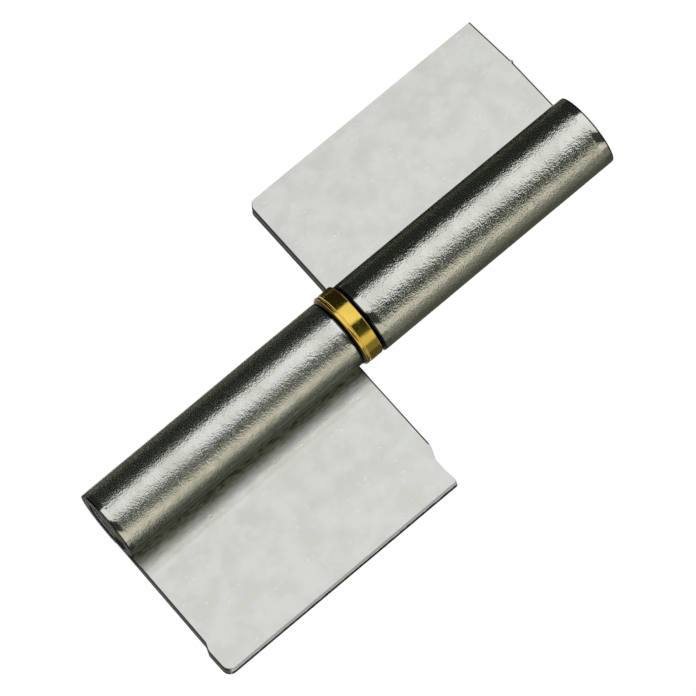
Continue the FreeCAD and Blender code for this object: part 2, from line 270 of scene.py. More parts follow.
class HingeFinish(bpy.types.PropertyGroup):
    """Colours and surface marks."""

    leaf_tint: tint("Leaf Tint", "Flat sheet steel", (0.697, 0.706, 0.668))
    leaf_shade: tint("Leaf Shade", "Faint blotches on the flat sheet", (0.661, 0.675, 0.624))
    roll_tint: tint("Roll Tint", "Sheet burnished by rolling", (0.735, 0.742, 0.694))
    roll_shade: tint("Roll Shade", "Dull blotches on the rolled sheet", (0.640, 0.650, 0.590))
    speck_tint: tint("Speck Tint", "Bright pinpricks", (0.86, 0.87, 0.84))
    speck_strength: amount("Speck Strength", "How far the pinpricks cover the steel", 0.45)
    # The film and the nook tints below are painted shade on the curl's end and in the nook beside the seam
    flank_shade_tint: tint("Film Tint", "Oil film on the curl's end beside the seam", (0.35, 0.36, 0.25))
    nook_shade_tint: tint("Grime Tint", "Oily grime in the nook at the seam", (0.032, 0.036, 0.026))
    # The cut shade is the torn back of the long edges and also painted shade on the short ends; the end tint
    # is painted shade on the sawn knuckle ends
    cut_tint: tint("Cut Tint", "Burnished front of the sheared edges", (0.62, 0.625, 0.605))
    cut_shade: tint("Cut Shade", "Torn back of the sheared edges", (0.026, 0.026, 0.022))
    end_tint: tint("End Tint", "Sawn knuckle ends", (0.055, 0.058, 0.052))
    pin_tint: tint("Pin Tint", "Drawn steel of the pin", (0.52, 0.525, 0.51))
    pin_shade: tint("Pin Shade", "Oil stain on the pin", (0.30, 0.295, 0.27))
    brass_tint: tint("Brass Tint", "Polished brass", (0.90, 0.63, 0.125))
    brass_shade: tint("Brass Shade", "Tarnished brass", (0.74, 0.52, 0.085))
    # The rim tint is painted shade on the ring's chamfered rims
    rim_shade_tint: tint("Rim Tint", "Oil-black rims of the ring", (0.030, 0.022, 0.016))
    # The burr tint is painted shade along the sheet's edges and on the pin's recessed foot
    dark_shade_tint: tint("Burr Tint", "Dark burr along the sheet's short ends", (0.020, 0.020, 0.018))
    leaf_roughness: amount("Leaf Roughness", "Roughness of the flat leaf", 0.155)
    cloud_roughness: amount("Cloud Roughness", "Roughness that the blotches add", 0.03)
    polish_roughness: amount("Polish Roughness", "Roughness of the smooth knuckle ends", 0.13)
    # Roughness where the nook's painted shade lies
    nook_roughness: amount("Grime Roughness", "Roughness of the grime in the nook", 0.36)
    leaf_grain: amount("Leaf Grain", "Grain of the flat leaf, against the knuckle's", 0.12)
    polish_grain: amount("Polish Grain", "Grain of the smooth knuckle ends, against the knuckle's", 0.15)
    bend_start: length("Bend Start", "Pin axis to the steepest part of the bend beside the seam", 6.8 * MM)
    bend_end: length("Bend End", "Pin axis to the end of that bend", 8.9 * MM)
    bend_slope: amount("Bend Slope", "Steepest rise of that bend towards the seam", 0.12)
    door_bow: amount("Door Bow", "Rise of the upper leaf towards its outer edge", 0.03)
    dent_depth: length("Dent Depth", "Depth of the pinprick dents", 0.008 * MM)
    grain_height: length("Grain Height", "Height of the orange peel on the knuckle", 0.052 * MM)


class HingeStage(bpy.types.PropertyGroup):
    """Camera and studio."""

    azimuth: angle("Azimuth", "Camera's place round the pin", 23.22)
    elevation: angle("Elevation", "Camera's height over the hinge", -8.98)
    roll: angle("Roll", "Turn of the picture", 50.26)
    distance: length("Distance", "Camera to target", 820 * MM)
    focal_length: amount("Focal Length", "Lens in millimetres", 268.07)
    target: FloatVectorProperty(
        name="Target", description="Point the camera looks at", size=3,
        default=(2.64 * MM, 0.0, -2.50 * MM), subtype="TRANSLATION", unit="LENGTH",
    )
    floor_drop: length("Floor Drop", "Floor below the hinge's middle", 450 * MM)
    floor_half: length("Floor Half", "Half of the floor's side", 6.0)
    floor_tint: tint("Floor Tint", "Pale floor", (0.94, 0.94, 0.94))
    room_tint: tint("Room Tint", "Room light on matt surfaces", (0.72, 0.72, 0.72))
    lamp_azimuth: angle("Lamp Azimuth", "Softbox's place round the pin", -5.0)
    lamp_elevation: angle("Lamp Elevation", "Softbox's height over the hinge", 42.0)
    lamp_distance: length("Lamp Distance", "Softbox to the hinge", 1.1)
    lamp_side: length("Lamp Side", "Side of the softbox", 0.4)
    lamp_power: amount("Lamp Power", "Power of the softbox in watts", 0.75)
    card_radius: length("Card Radius", "Distance of the studio cards", 1.25)
    stripe_radius: length("Stripe Radius", "Distance of the slanting dark card", 1.2)
    stripe_lean: amount("Stripe Lean", "Slant of that card, in degrees for each metre of height", 50.0)
    dark_card: tint("Dark Card", "Black studio cards", (0.020, 0.026, 0.018))
    dim_card: tint("Dim Card", "Dim olive studio card", (0.21, 0.205, 0.165))
    dusk_card: tint("Dusk Card", "Dark olive studio card", (0.080, 0.080, 0.060))
    pale_card: tint("Pale Card", "Pale card beside the slanting one", (0.92, 0.90, 0.80))
    brown_card: tint("Brown Card", "Narrow brown card at the ring's height", (0.080, 0.020, 0.030))
    umber_card: tint("Umber Card", "Darker narrow card at the ring's height", (0.018, 0.006, 0.012))
    warm_card: tint("Warm Card", "Beige studio card", (0.72, 0.69, 0.58))


# Small helpers for meshes

def finish_mesh(bm, name, materials):
    """Turns a bmesh into a shaded object at the origin."""
    mesh = bpy.data.meshes.new(name)
    bm.to_mesh(mesh)
    bm.free()
    if not mesh.polygons:
        raise RuntimeError(name + " has no faces")
    mesh.shade_smooth()
    for material in materials:
        mesh.materials.append(material)
    piece = bpy.data.objects.new(name, mesh)
    bpy.context.scene.collection.objects.link(piece)
    return piece


def spread(start, end, steps):
    """Evenly spaced places from start to end, both kept."""
    return [start + (end - start) * step / steps for step in range(steps + 1)]


def held(value):
    """A value kept between nought and one."""
    return min(max(value, 0.0), 1.0)


def between(points, place):
    """Height of a broken line of (place, height) points."""
    for (left, low), (right, high) in zip(points, points[1:]):
        if place <= right:
            return low + (high - low) * (place - left) / (right - left)
    return points[-1][1]


def corner_rise(radius, reach, place):
    """How far a rounded corner draws the edge in at this place."""
    into = place - (reach - radius)
    if into <= 0.0:
        return 0.0
    return radius - math.sqrt(max(radius * radius - into * into, 0.0))


# Rolled leaves

def frame_edges(sheet, leaf):
    """Foot and ring edges of the lower leaf, as (reach, height over the knuckle's foot) points."""
    strip = sheet.leaf_reach - leaf.strip_width
    foot_step = strip + leaf.strip_skew
    ring_step = strip - leaf.strip_skew
    slant = sheet.edge_slant / sheet.leaf_reach
    ring_root = sheet.knuckle_length - leaf.setback
    foot_root = ring_root - leaf.leaf_length
    strip_ring = ring_root - leaf.strip_offset
    strip_foot = strip_ring - leaf.strip_length
    foot = [
        (0.0, foot_root),
        (foot_step, foot_root - slant * foot_step),
        (foot_step + leaf.foot_ramp, strip_foot),
        (sheet.leaf_reach, strip_foot),
    ]
    ring = [
        (0.0, ring_root),
        (ring_step, ring_root - slant * ring_step),
        (ring_step + leaf.ring_ramp, strip_ring - HOLLOW_START * leaf.ring_hollow),
        (ring_step + 2 * leaf.ring_ramp, strip_ring - leaf.ring_hollow),
        (ring_step + 3 * leaf.ring_ramp, strip_ring),
        (sheet.leaf_reach, strip_ring + leaf.ring_hollow),
    ]
    return foot, ring


def door_edges(sheet, leaf):
    """Far and ring edges of the upper leaf, as (reach, height over the knuckle's far end) points."""
    strip = sheet.leaf_reach - leaf.strip_width
    slant = sheet.edge_slant / sheet.leaf_reach
    ring_root = sheet.knuckle_length - leaf.setback
    ring_end = sheet.knuckle_length + leaf.overhang
    foot_root = ring_end - leaf.leaf_length
    strokes_meet = foot_root - slant * strip
    beside_ring = leaf.overhang_start + leaf.overhang_ramp
    foot = [
        (0.0, foot_root),
        (strip - leaf.tooth_width, strokes_meet),
        (strip - leaf.tooth_width / 2, strokes_meet - leaf.tooth_height),
        (strip, strokes_meet),
        (sheet.leaf_reach, foot_root - sheet.edge_slant + leaf.strip_fall),
    ]
    ring = [
        (0.0, ring_root),
        (leaf.overhang_start, ring_root),
        (beside_ring, ring_end - slant * beside_ring),
        (sheet.leaf_reach, ring_end - sheet.edge_slant),
    ]
    return foot, ring


def leaf_columns(sheet, leaf, foot, ring):
    """Places across the leaf where its faces are divided."""
    places = set(spread(sheet.root_ramp, sheet.leaf_reach, sheet.columns))
    places.update(point[0] for point in foot + ring)
    places.add(sheet.leaf_reach - sheet.chamfer_length)
    for radius in (leaf.foot_corner, leaf.ring_corner):
        steps = sheet.corner_steps if radius > SMALL_CORNER * sheet.edge_round else 2
        for step in range(steps):
            turn = math.pi / 2 * step / steps
            places.add(sheet.leaf_reach - radius + radius * math.sin(turn))
    return sorted(place for place in places if TOUCH < place < sheet.leaf_reach - TOUCH)


def on_leaf(point, outer):
    """True past the line where the flat leaf leaves the curl."""
    return point.x > TOUCH and point.y > outer - TOUCH


def knuckle_rows(sheet, leaf):
    """Heights where the sheet's faces are divided along the pin."""
    foot = leaf.foot_polish
    ring = sheet.knuckle_length - leaf.ring_polish
    rows = set(spread(foot + sheet.polish_fade, ring - sheet.polish_fade, sheet.rows))
    rows.update((sheet.chamfer_length, foot, ring, sheet.knuckle_length - sheet.chamfer_length))
    return sorted(rows)


def seam_turn(sheet, leaf):
    """Angle from the leaf's side to the end of the curl, which stops at the leaf's front face."""
    outer = sheet.knuckle_diameter / 2
    rise = outer - sheet.sheet_thickness - sheet.seam_gap
    run = math.sqrt(leaf.curl_radius ** 2 - (rise + outer - leaf.curl_radius) ** 2)
    return math.atan2(rise, run)


def leaf_faces(bm, outer):
    """The faces that lie on the flat leaf, its root line included."""
    nudge = OUTWARD * TOUCH * 2
    return [face for face in bm.faces if all(on_leaf(vert.co + nudge, outer) for vert in face.verts)]


def roll_sheet(bm, sheet, tip_turn, columns, rows):
    """The sheet's outer face: a curl about the pin and a flat leaf, divided into a grid."""
    outer = sheet.knuckle_diameter / 2
    tip = Vector((outer * math.cos(tip_turn), outer * math.sin(tip_turn), 0.0))
    low = bm.verts.new(tip)
    high = bm.verts.new(tip + UP * sheet.knuckle_length)
    edge = bm.edges.new((low, high))
    rolled = bmesh.ops.spin(
        bm, geom=[low, high, edge], cent=(0.0, 0.0, 0.0), axis=UP,
        angle=-(1.5 * math.pi + tip_turn), steps=sheet.roll_steps, use_duplicate=False,
    )
    root = [item for item in rolled["geom_last"] if isinstance(item, bmesh.types.BMEdge)]
    drawn = bmesh.ops.extrude_edge_only(bm, edges=root)
    far = [item for item in drawn["geom"] if isinstance(item, bmesh.types.BMVert)]
    bmesh.ops.translate(bm, verts=far, vec=OUTWARD * sheet.leaf_reach)
    for place in columns:
        flat = leaf_faces(bm, outer)
        edges = {edge for face in flat for edge in face.edges}
        verts = {vert for face in flat for vert in face.verts}
        bmesh.ops.bisect_plane(
            bm, geom=flat + list(edges) + list(verts), plane_co=OUTWARD * place, plane_no=OUTWARD,
        )
    for height in rows:
        bmesh.ops.bisect_plane(
            bm, geom=bm.verts[:] + bm.edges[:] + bm.faces[:], plane_co=UP * height, plane_no=UP,
        )
    bmesh.ops.remove_doubles(bm, verts=bm.verts[:], dist=TOUCH)


def place_along(point, outer):
    """Distance along the sheet from the leaf's root: outward on the leaf, less than zero round the curl."""
    if on_leaf(point, outer):
        return point.x
    turn = math.atan2(point.y, point.x)
    if turn < math.pi / 2 - TURN_SLACK:
        turn += 2 * math.pi
    return -(turn - math.pi / 2) * outer


def map_sheet(bm, sheet, leaf):
    """Adds the sheet's layers and marks its curl, polished ends, closing side, painted shade along its edges,
    and grain.
    """
    outer = sheet.knuckle_diameter / 2
    fade = CURL_FADE * outer
    layers = {name: bm.verts.layers.float.new(name) for name in SHEET_LAYERS}
    for vert in bm.verts:
        flat = on_leaf(vert.co, outer)
        height = vert.co.z
        vert[layers["curl"]] = held(1.0 - place_along(vert.co, outer) / fade)
        vert[layers["share"]] = height / sheet.knuckle_length
        # The burr layer is a dark line of painted shade along the ends, left off past its end on the ring
        # edge
        past_edge_shade = vert.co.x > leaf.edge_shade_end and height > sheet.knuckle_length / 2
        at_end = min(height, sheet.knuckle_length - height) < TOUCH
        at_side = vert.co.x > sheet.leaf_reach - TOUCH
        vert[layers["burr"]] = 1.0 if at_end and not past_edge_shade else leaf.side_edge_shade if at_side else 0.0
        vert[layers["peel"]] = leaf.peel
        vert[layers["satin"]] = leaf.knuckle_roughness
        vert[layers["closing"]] = 1.0 if vert.co.x > TOUCH and not flat else 0.0
        past_foot = height > leaf.foot_polish + TOUCH
        before_ring = height < sheet.knuckle_length - leaf.ring_polish - TOUCH
        vert[layers["polish"]] = 0.0 if flat or (past_foot and before_ring) else 1.0


def shade_nook(bm, sheet, leaf):
    """Marks the painted shade on the curl's end and on the leaf in the nook beside the seam."""
    outer = sheet.knuckle_diameter / 2
    nook = bm.verts.layers.float["nook"]
    flank = bm.verts.layers.float["flank"]
    curl_end = min(place_along(vert.co, outer) for vert in bm.verts)
    for vert in bm.verts:
        along = place_along(vert.co, outer)
        past_end = along - curl_end
        # Painted shade on the curl's end where it faces the leaf
        vert[flank] = leaf.flank * held((leaf.flank_shade_reach - past_end) / leaf.flank_shade_fade)
        on_curl = 0.0
        if past_end > leaf.nook_start:
            on_curl = held(1.0 - (past_end - leaf.nook_turn) / leaf.nook_edge)
        beside_curl = held((leaf.nook_reach - along) / leaf.nook_fade) if along > 0.0 else 0.0
        vert[nook] = max(leaf.curl_nook_shade * on_curl, leaf.nook_shade * beside_curl)


def trim_leaf(bm, sheet, leaf, foot, ring):
    """Brings the leaf's short edges to their outline, with its two outer corners rounded."""
    outer = sheet.knuckle_diameter / 2
    for vert in bm.verts:
        if on_leaf(vert.co, outer):
            place = vert.co.x
            low = between(foot, place) + corner_rise(leaf.foot_corner, sheet.leaf_reach, place)
            high = between(ring, place) - corner_rise(leaf.ring_corner, sheet.leaf_reach, place)
            vert.co.z = low + (high - low) * vert.co.z / sheet.knuckle_length


def wave_sheet(bm, sheet, seed):
    """Gives the sheet the slight swells that rolling and shearing leave."""
    bm.normal_update()
    moves = []
    for vert in bm.verts:
        swell = noise.noise(vert.co / sheet.wave_length + seed)
        moves.append(vert.normal * swell * sheet.waviness)
    for vert, move in zip(bm.verts, moves):
        vert.co += move


def thicken_sheet(bm, sheet):
    """Gives the sheet its thickness, towards the pin and the leaf's front."""
    bmesh.ops.recalc_face_normals(bm, faces=bm.faces[:])
    bmesh.ops.solidify(bm, geom=bm.faces[:], thickness=sheet.sheet_thickness)


def middle_line(sheet):
    """Distance from the pin's axis to the middle of the sheet."""
    return (sheet.knuckle_diameter - sheet.sheet_thickness) / 2


def mark_front(bm, sheet):
    """Marks the leaf's front face, and keeps the nook's painted shade off its back."""
    middle = middle_line(sheet)
    nook = bm.verts.layers.float["nook"]
    front = bm.verts.layers.float["front"]
    closing = bm.verts.layers.float["closing"]
    for vert in bm.verts:
        if vert.co.x > 0.0 and vert[closing] < 0.5:
            vert[front] = 1.0 if vert.co.y < middle else 0.0
            vert[nook] *= vert[front]


def chamfer_knuckle(bm, sheet):
    """Draws in the knuckle's outer rims at both ends."""
    outer = sheet.knuckle_diameter / 2
    slack = WAVE_SLACK * sheet.waviness
    share = bm.verts.layers.float["share"]
    for vert in bm.verts:
        across = Vector((vert.co.x, vert.co.y, 0.0))
        at_end = vert[share] in (0.0, 1.0)
        on_curl = vert.co.x < slack or vert.co.y < outer - slack
        if at_end and on_curl and abs(across.length - outer) < slack:
            vert.co -= across.normalized() * sheet.chamfer_depth


def lean_edges(bm, sheet, leaf):
    """Drags the leaf's front face in along its sheared short edges, and the next row half as far."""
    outer = sheet.knuckle_diameter / 2
    middle = middle_line(sheet)
    share = bm.verts.layers.float["share"]
    next_row = sheet.chamfer_length / sheet.knuckle_length + TOUCH
    for vert in bm.verts:
        if vert.co.x > outer and vert.co.y < middle:
            if vert[share] < next_row:
                vert.co.z += leaf.foot_lean * (1.0 if vert[share] == 0.0 else 0.5)
            elif vert[share] > 1.0 - next_row:
                vert.co.z -= leaf.ring_lean * (1.0 if vert[share] == 1.0 else 0.5)


def mark_cut_faces(bm, sheet):
    """Gives the faces through the sheet the cut edge's material, and the knuckle ends the sawn one."""
    outer = sheet.knuckle_diameter / 2
    middle = middle_line(sheet)
    closing = bm.verts.layers.float["closing"]

    def outside(vert):
        flat = vert.co.x > 0.0 and vert[closing] < 0.5
        return (vert.co.y if flat else vert.co.xy.length) > middle

    for face in bm.faces:
        sides = {outside(vert) for vert in face.verts}
        if len(sides) == 2:
            face.material_index = CUT_INDEX if face.calc_center_median().x > outer else END_INDEX


def draw_in_curl(bm, sheet, leaf):
    """Thins the curl from its front to the seam, where its outside turns on a smaller radius."""
    outer = sheet.knuckle_diameter / 2
    shift = outer - leaf.curl_radius
    closing = bm.verts.layers.float["closing"]
    for vert in bm.verts:
        across = Vector((vert.co.x, vert.co.y, 0.0))
        if vert[closing] > 0.5 and across.length > middle_line(sheet):
            lift = -shift * across.normalized().y
            reach = lift + math.sqrt(lift ** 2 - shift ** 2 + leaf.curl_radius ** 2)
            vert.co -= across * (1.0 - reach / outer)


def roll_leaf(name, sheet, leaf, edges, seed, place, materials, nook_shaded):
    """One leaf with its knuckle, rolled from one piece of sheet and set in its place."""
    foot, ring = edges
    bm = bmesh.new()
    columns = leaf_columns(sheet, leaf, foot, ring)
    roll_sheet(bm, sheet, seam_turn(sheet, leaf), columns, knuckle_rows(sheet, leaf))
    map_sheet(bm, sheet, leaf)
    # Painted shade in the lower leaf's nook
    if nook_shaded:
        shade_nook(bm, sheet, leaf)
    trim_leaf(bm, sheet, leaf, foot, ring)
    wave_sheet(bm, sheet, seed)
    thicken_sheet(bm, sheet)
    mark_front(bm, sheet)
    chamfer_knuckle(bm, sheet)
    lean_edges(bm, sheet, leaf)
    mark_cut_faces(bm, sheet)
    draw_in_curl(bm, sheet, leaf)
    bmesh.ops.transform(bm, matrix=place, verts=bm.verts[:])
    piece = finish_mesh(bm, name, materials)
    # The modifier narrows this rounding where small facets leave it less room
    rounding = piece.modifiers.new("Sheared edges", "BEVEL")
    rounding.width = sheet.edge_round
    rounding.segments = 3
    rounding.profile = 0.5
    rounding.limit_method = "ANGLE"
    rounding.angle_limit = sheet.round_angle
    rounding.harden_normals = True
    return piece


# Turned pieces

def turn_profile(name, profile, middle, turned, materials):
    """A closed (radius, height) profile with broken edges, turned about an upright line."""
    bm = bmesh.new()
    corners = [bm.verts.new((middle.x + radius, middle.y, height)) for radius, height in profile]
    for first, second in zip(corners, corners[1:] + corners[:1]):
        if first.co != second.co:
            bm.edges.new((first, second))
    rims = [vert for vert, (radius, height) in zip(corners, profile) if radius > TOUCH]
    bmesh.ops.bevel(
        bm, geom=rims, offset=turned.edge_break, offset_type="OFFSET", segments=2, profile=0.5,
        affect="VERTICES", material=-1,
    )
    bmesh.ops.spin(
        bm, geom=bm.verts[:] + bm.edges[:], cent=middle, axis=UP, angle=2 * math.pi,
        steps=turned.facets, use_merge=True, use_duplicate=False,
    )
    bmesh.ops.remove_doubles(bm, verts=bm.verts[:], dist=TOUCH)
    bmesh.ops.recalc_face_normals(bm, faces=bm.faces[:])
    piece = finish_mesh(bm, name, materials)
    weights = piece.modifiers.new("Flat faces stay flat", "WEIGHTED_NORMAL")
    weights.keep_sharp = True
    return piece


def box_axis(low, high):
    """The upright line through the middle of a box."""
    return Vector(((low.x + high.x) / 2, (low.y + high.y) / 2, 0.0))


def ring_profile(turned):
    """Section of the brass ring, with its chamfers and its turned line."""
    rim = (RING_HIGH.x - RING_LOW.x) / 2
    bore = turned.ring_bore / 2
    low = RING_LOW.z
    high = RING_HIGH.z
    floor = rim - turned.groove_depth
    lip = GROOVE_LIP * (turned.groove_high - turned.groove_low)
    return [
        (bore, low),
        (rim - turned.ring_chamfer, low),
        (rim, low + turned.ring_chamfer),
        (rim, turned.groove_low),
        (floor, turned.groove_low + lip),
        (floor, turned.groove_high - lip),
        (rim, turned.groove_high),
        (rim, high - turned.ring_chamfer),
        (rim - turned.ring_chamfer, high),
        (bore, high),
    ]


def pin_profile(turned):
    """Half section of the pin, from its recessed foot to its tapered tip."""
    shank = (PIN_HIGH.x - PIN_LOW.x) / 2
    free = shank - turned.pin_clearance
    return [
        (0.0, PIN_LOW.z),
        (shank - turned.foot_chamfer, PIN_LOW.z),
        (shank, PIN_LOW.z + turned.foot_chamfer),
        (shank, turned.shank_end),
        (free, turned.shank_end),
        (free, PIN_HIGH.z - turned.tip_length),
        (free - turned.tip_inset, PIN_HIGH.z),
        (0.0, PIN_HIGH.z),
    ]


# Small helpers for shader nodes, where each value is a socket or a constant

def add_node(tree, kind, **settings):
    """A shader node with its own settings given by name."""
    node = tree.nodes.new(kind)
    for key, value in settings.items():
        setattr(node, key, value)
    return node


def feed(tree, source, target):
    """Links a socket to an input, or sets the input to a constant."""
    if isinstance(source, bpy.types.NodeSocket):
        tree.links.new(source, target)
    elif target.type == "RGBA":
        target.default_value = (*source, 1.0)
    else:
        target.default_value = source


def work_out(tree, operation, *values):
    """The result of a Math node."""
    node = add_node(tree, "ShaderNodeMath", operation=operation)
    for value, target in zip(values, node.inputs):
        feed(tree, value, target)
    return node.outputs[0]


def multiply(tree, first, second):
    """The product of two values."""
    return work_out(tree, "MULTIPLY", first, second)


def rescale(tree, source, low, high, new_low, new_high):
    """A value taken smoothly from one span to another, and held at its ends."""
    node = add_node(tree, "ShaderNodeMapRange", interpolation_type="SMOOTHSTEP")
    spans = {"Value": source, "From Min": low, "From Max": high, "To Min": new_low, "To Max": new_high}
    for name, value in spans.items():
        feed(tree, value, node.inputs[name])
    return node.outputs["Result"]


def mix(tree, mask, first, second, kind="RGBA"):
    """A mix of two colours, or of two numbers where the kind is VALUE."""
    node = add_node(tree, "ShaderNodeMix", data_type="RGBA" if kind == "RGBA" else "FLOAT")
    feed(tree, mask, node.inputs["Factor"])
    for side, name in ((first, "A"), (second, "B")):
        feed(tree, side, next(item for item in node.inputs if item.name == name and item.type == kind))
    return next(item for item in node.outputs if item.type == kind)


def attribute(tree, name):
    """A layer of the sheet as a mask."""
    return add_node(tree, "ShaderNodeAttribute", attribute_name=name).outputs["Fac"]


def object_place(tree):
    """Object coordinates."""
    return add_node(tree, "ShaderNodeTexCoord").outputs["Object"]


def stretched_place(tree, scale):
    """Object coordinates scaled along each axis."""
    node = add_node(tree, "ShaderNodeMapping")
    node.inputs["Scale"].default_value = scale
    feed(tree, object_place(tree), node.inputs["Vector"])
    return node.outputs["Vector"]


def parts_of(tree, vector):
    """The X, Y and Z of a vector."""
    node = add_node(tree, "ShaderNodeSeparateXYZ")
    feed(tree, vector, node.inputs["Vector"])
    return node.outputs


def speckle(tree, coordinates, scale, detail):
    """A noise value on these coordinates."""
    node = add_node(tree, "ShaderNodeTexNoise")
    settings = {"Vector": coordinates, "Scale": scale, "Detail": detail, "Roughness": NOISE_ROUGHNESS}
    for name, value in settings.items():
        feed(tree, value, node.inputs[name])
    return node.outputs["Fac"]


# Finishes

def make_metal_marks():
    """Node group shared by every metal here: peel grain, cloudy blotches and sparse specks."""
    group = bpy.data.node_groups.new("Metal Marks", "ShaderNodeTree")
    defaults = {"Grain Scale": 2600.0, "Cloud Scale": 120.0, "Speck Scale": 260.0, "Speck Size": 0.07}
    for name, value in defaults.items():
        socket = group.interface.new_socket(name=name, in_out="INPUT", socket_type="NodeSocketFloat")
        socket.default_value = value
    for name in ("Grain", "Clouds", "Specks"):
        group.interface.new_socket(name=name, in_out="OUTPUT", socket_type="NodeSocketFloat")
    given = add_node(group, "NodeGroupInput").outputs
    result = add_node(group, "NodeGroupOutput").inputs
    place = object_place(group)
    fine = speckle(group, place, given["Grain Scale"], 1.5)
    broad = speckle(group, place, multiply(group, given["Grain Scale"], BROAD_SCALE), 1.0)
    both = work_out(group, "MULTIPLY_ADD", broad, BROAD_SHARE, fine)
    feed(group, work_out(group, "SUBTRACT", both, (1.0 + BROAD_SHARE) / 2), result["Grain"])
    clouds = speckle(group, place, given["Cloud Scale"], 3.0)
    feed(group, rescale(group, clouds, *CLOUD_SPAN, 0.0, 1.0), result["Clouds"])
    cells = add_node(group, "ShaderNodeTexVoronoi")
    feed(group, place, cells.inputs["Vector"])
    feed(group, given["Speck Scale"], cells.inputs["Scale"])
    close = rescale(group, cells.outputs["Distance"], 0.0, given["Speck Size"], 1.0, 0.0)
    chosen = add_node(group, "ShaderNodeSeparateColor")
    feed(group, cells.outputs["Color"], chosen.inputs["Color"])
    few = work_out(group, "GREATER_THAN", chosen.outputs["Red"], SPECK_RARITY)
    feed(group, multiply(group, close, few), result["Specks"])
    return group


def shared_marks():
    """The node group of metal marks, built once."""
    return bpy.data.node_groups.get("Metal Marks") or make_metal_marks()


def start_material(name, marks):
    """A metal with the shared marks placed in it; returns the material, its shader's inputs and the marks."""
    material = bpy.data.materials.new(name)
    material.use_nodes = True
    tree = material.node_tree
    shader = tree.nodes["Principled BSDF"].inputs
    shader["Metallic"].default_value = 1.0
    node = add_node(tree, "ShaderNodeGroup", node_tree=shared_marks())
    for key, value in marks.items():
        node.inputs[key].default_value = value
    return material, shader, node.outputs


def set_relief(tree, shader, height, distance):
    """Feeds a height to the shader's normal."""
    bump = add_node(tree, "ShaderNodeBump")
    bump.inputs["Strength"].default_value = 1.0
    bump.inputs["Distance"].default_value = distance
    feed(tree, height, bump.inputs["Height"])
    feed(tree, bump.outputs["Normal"], shader["Normal"])


def set_gloss(tree, shader, mask, span):
    """Makes the shader's roughness follow a mask over a span."""
    feed(tree, rescale(tree, mask, 0.0, 1.0, *span), shader["Roughness"])


def streaky_nook_shade(tree):
    """The painted shade in the nook, broken into streaks along the pin."""
    streaks = speckle(tree, stretched_place(tree, STREAK_STRETCH), STREAK_SCALE, 2.0)
    return multiply(tree, attribute(tree, "nook"), rescale(tree, streaks, 0.3, 0.7, *STREAK_STRENGTH))


def edge_line(tree):
    """Mask of the dark line of painted shade along the sheet's two short ends and, fainter, its outer long
    edge.
    """
    return rescale(tree, attribute(tree, "burr"), 0.05, 0.3, 0.0, EDGE_SHADE_STRENGTH)


def short_of(tree, place, end):
    """How far a place falls short of an end, and zero past it."""
    return work_out(tree, "MAXIMUM", work_out(tree, "SUBTRACT", end, place), 0.0)


def leaf_bow(tree, finish):
    """Height of the slight bend beside the lower leaf's seam and of the upper leaf's bow, in metres."""
    across = parts_of(tree, object_place(tree))["X"]
    whole = short_of(tree, across, finish.bend_end)
    spent = short_of(tree, across, finish.bend_start)
    bend = work_out(tree, "SUBTRACT", multiply(tree, whole, whole), multiply(tree, spent, spent))
    steepness = finish.bend_slope / (finish.bend_end - finish.bend_start) / 2
    frame_side = rescale(tree, across, 0.0, 1.0 * MM, 0.0, steepness)
    door_side = short_of(tree, across, 0.0)
    return work_out(tree, "MULTIPLY_ADD", door_side, finish.door_bow, multiply(tree, bend, frame_side))


def sheet_colour(tree, marks, finish):
    """Blotched steel, with its specks and the painted shade on the curl's end, in the nook and along the
    edges laid over it in turn.
    """
    flat = mix(tree, marks["Clouds"], finish.leaf_tint, finish.leaf_shade)
    rolled = mix(tree, marks["Clouds"], finish.roll_tint, finish.roll_shade)
    colour = mix(tree, attribute(tree, "curl"), flat, rolled)
    layers = (
        (multiply(tree, marks["Specks"], finish.speck_strength), finish.speck_tint),
        (attribute(tree, "flank"), finish.flank_shade_tint),
        (streaky_nook_shade(tree), finish.nook_shade_tint),
        (edge_line(tree), finish.dark_shade_tint),
    )
    for mask, over in layers:
        colour = mix(tree, mask, colour, over)
    return colour


def sheet_roughness(tree, marks, finish):
    """Roughness of the leaf, its knuckle, the polished ends and the nook under its painted shade."""
    rolled = rescale(tree, attribute(tree, "curl"), 0.2, 1.0, 0.0, 1.0)
    base = mix(tree, rolled, finish.leaf_roughness, attribute(tree, "satin"), "VALUE")
    clouded = work_out(tree, "MULTIPLY_ADD", marks["Clouds"], finish.cloud_roughness, base)
    gloss = mix(tree, attribute(tree, "polish"), clouded, finish.polish_roughness, "VALUE")
    painted_shade = rescale(tree, attribute(tree, "nook"), 0.0, 0.5, 0.0, 1.0)
    return mix(tree, painted_shade, gloss, finish.nook_roughness, "VALUE")


def sheet_height(tree, marks, finish):
    """Height of the orange peel, the dents and the leaf's bow, in metres."""
    curl = attribute(tree, "curl")
    rolled = multiply(tree, attribute(tree, "peel"), rescale(tree, curl, 0.0, 1.0, finish.leaf_grain, 1.0))
    smooth = rescale(tree, attribute(tree, "polish"), 0.0, 1.0, 1.0, finish.polish_grain)
    peel = multiply(tree, marks["Grain"], multiply(tree, rolled, smooth))
    grain = multiply(tree, peel, finish.grain_height)
    dented = work_out(tree, "MULTIPLY_ADD", marks["Specks"], -finish.dent_depth, grain)
    flat = multiply(tree, attribute(tree, "front"), rescale(tree, curl, 0.0, 0.1, 1.0, 0.0))
    return work_out(tree, "MULTIPLY_ADD", leaf_bow(tree, finish), flat, dented)


def make_sheet_steel(finish):
    """Rolled sheet: satin on the flat leaf, brighter with orange peel where it is rolled."""
    scales = {"Grain Scale": 3800.0, "Cloud Scale": 240.0, "Speck Scale": 900.0, "Speck Size": 0.3}
    material, shader, marks = start_material("rolled_sheet_steel", scales)
    tree = material.node_tree
    feed(tree, sheet_colour(tree, marks, finish), shader["Base Color"])
    feed(tree, sheet_roughness(tree, marks, finish), shader["Roughness"])
    set_relief(tree, shader, sheet_height(tree, marks, finish), 1.0)
    return material


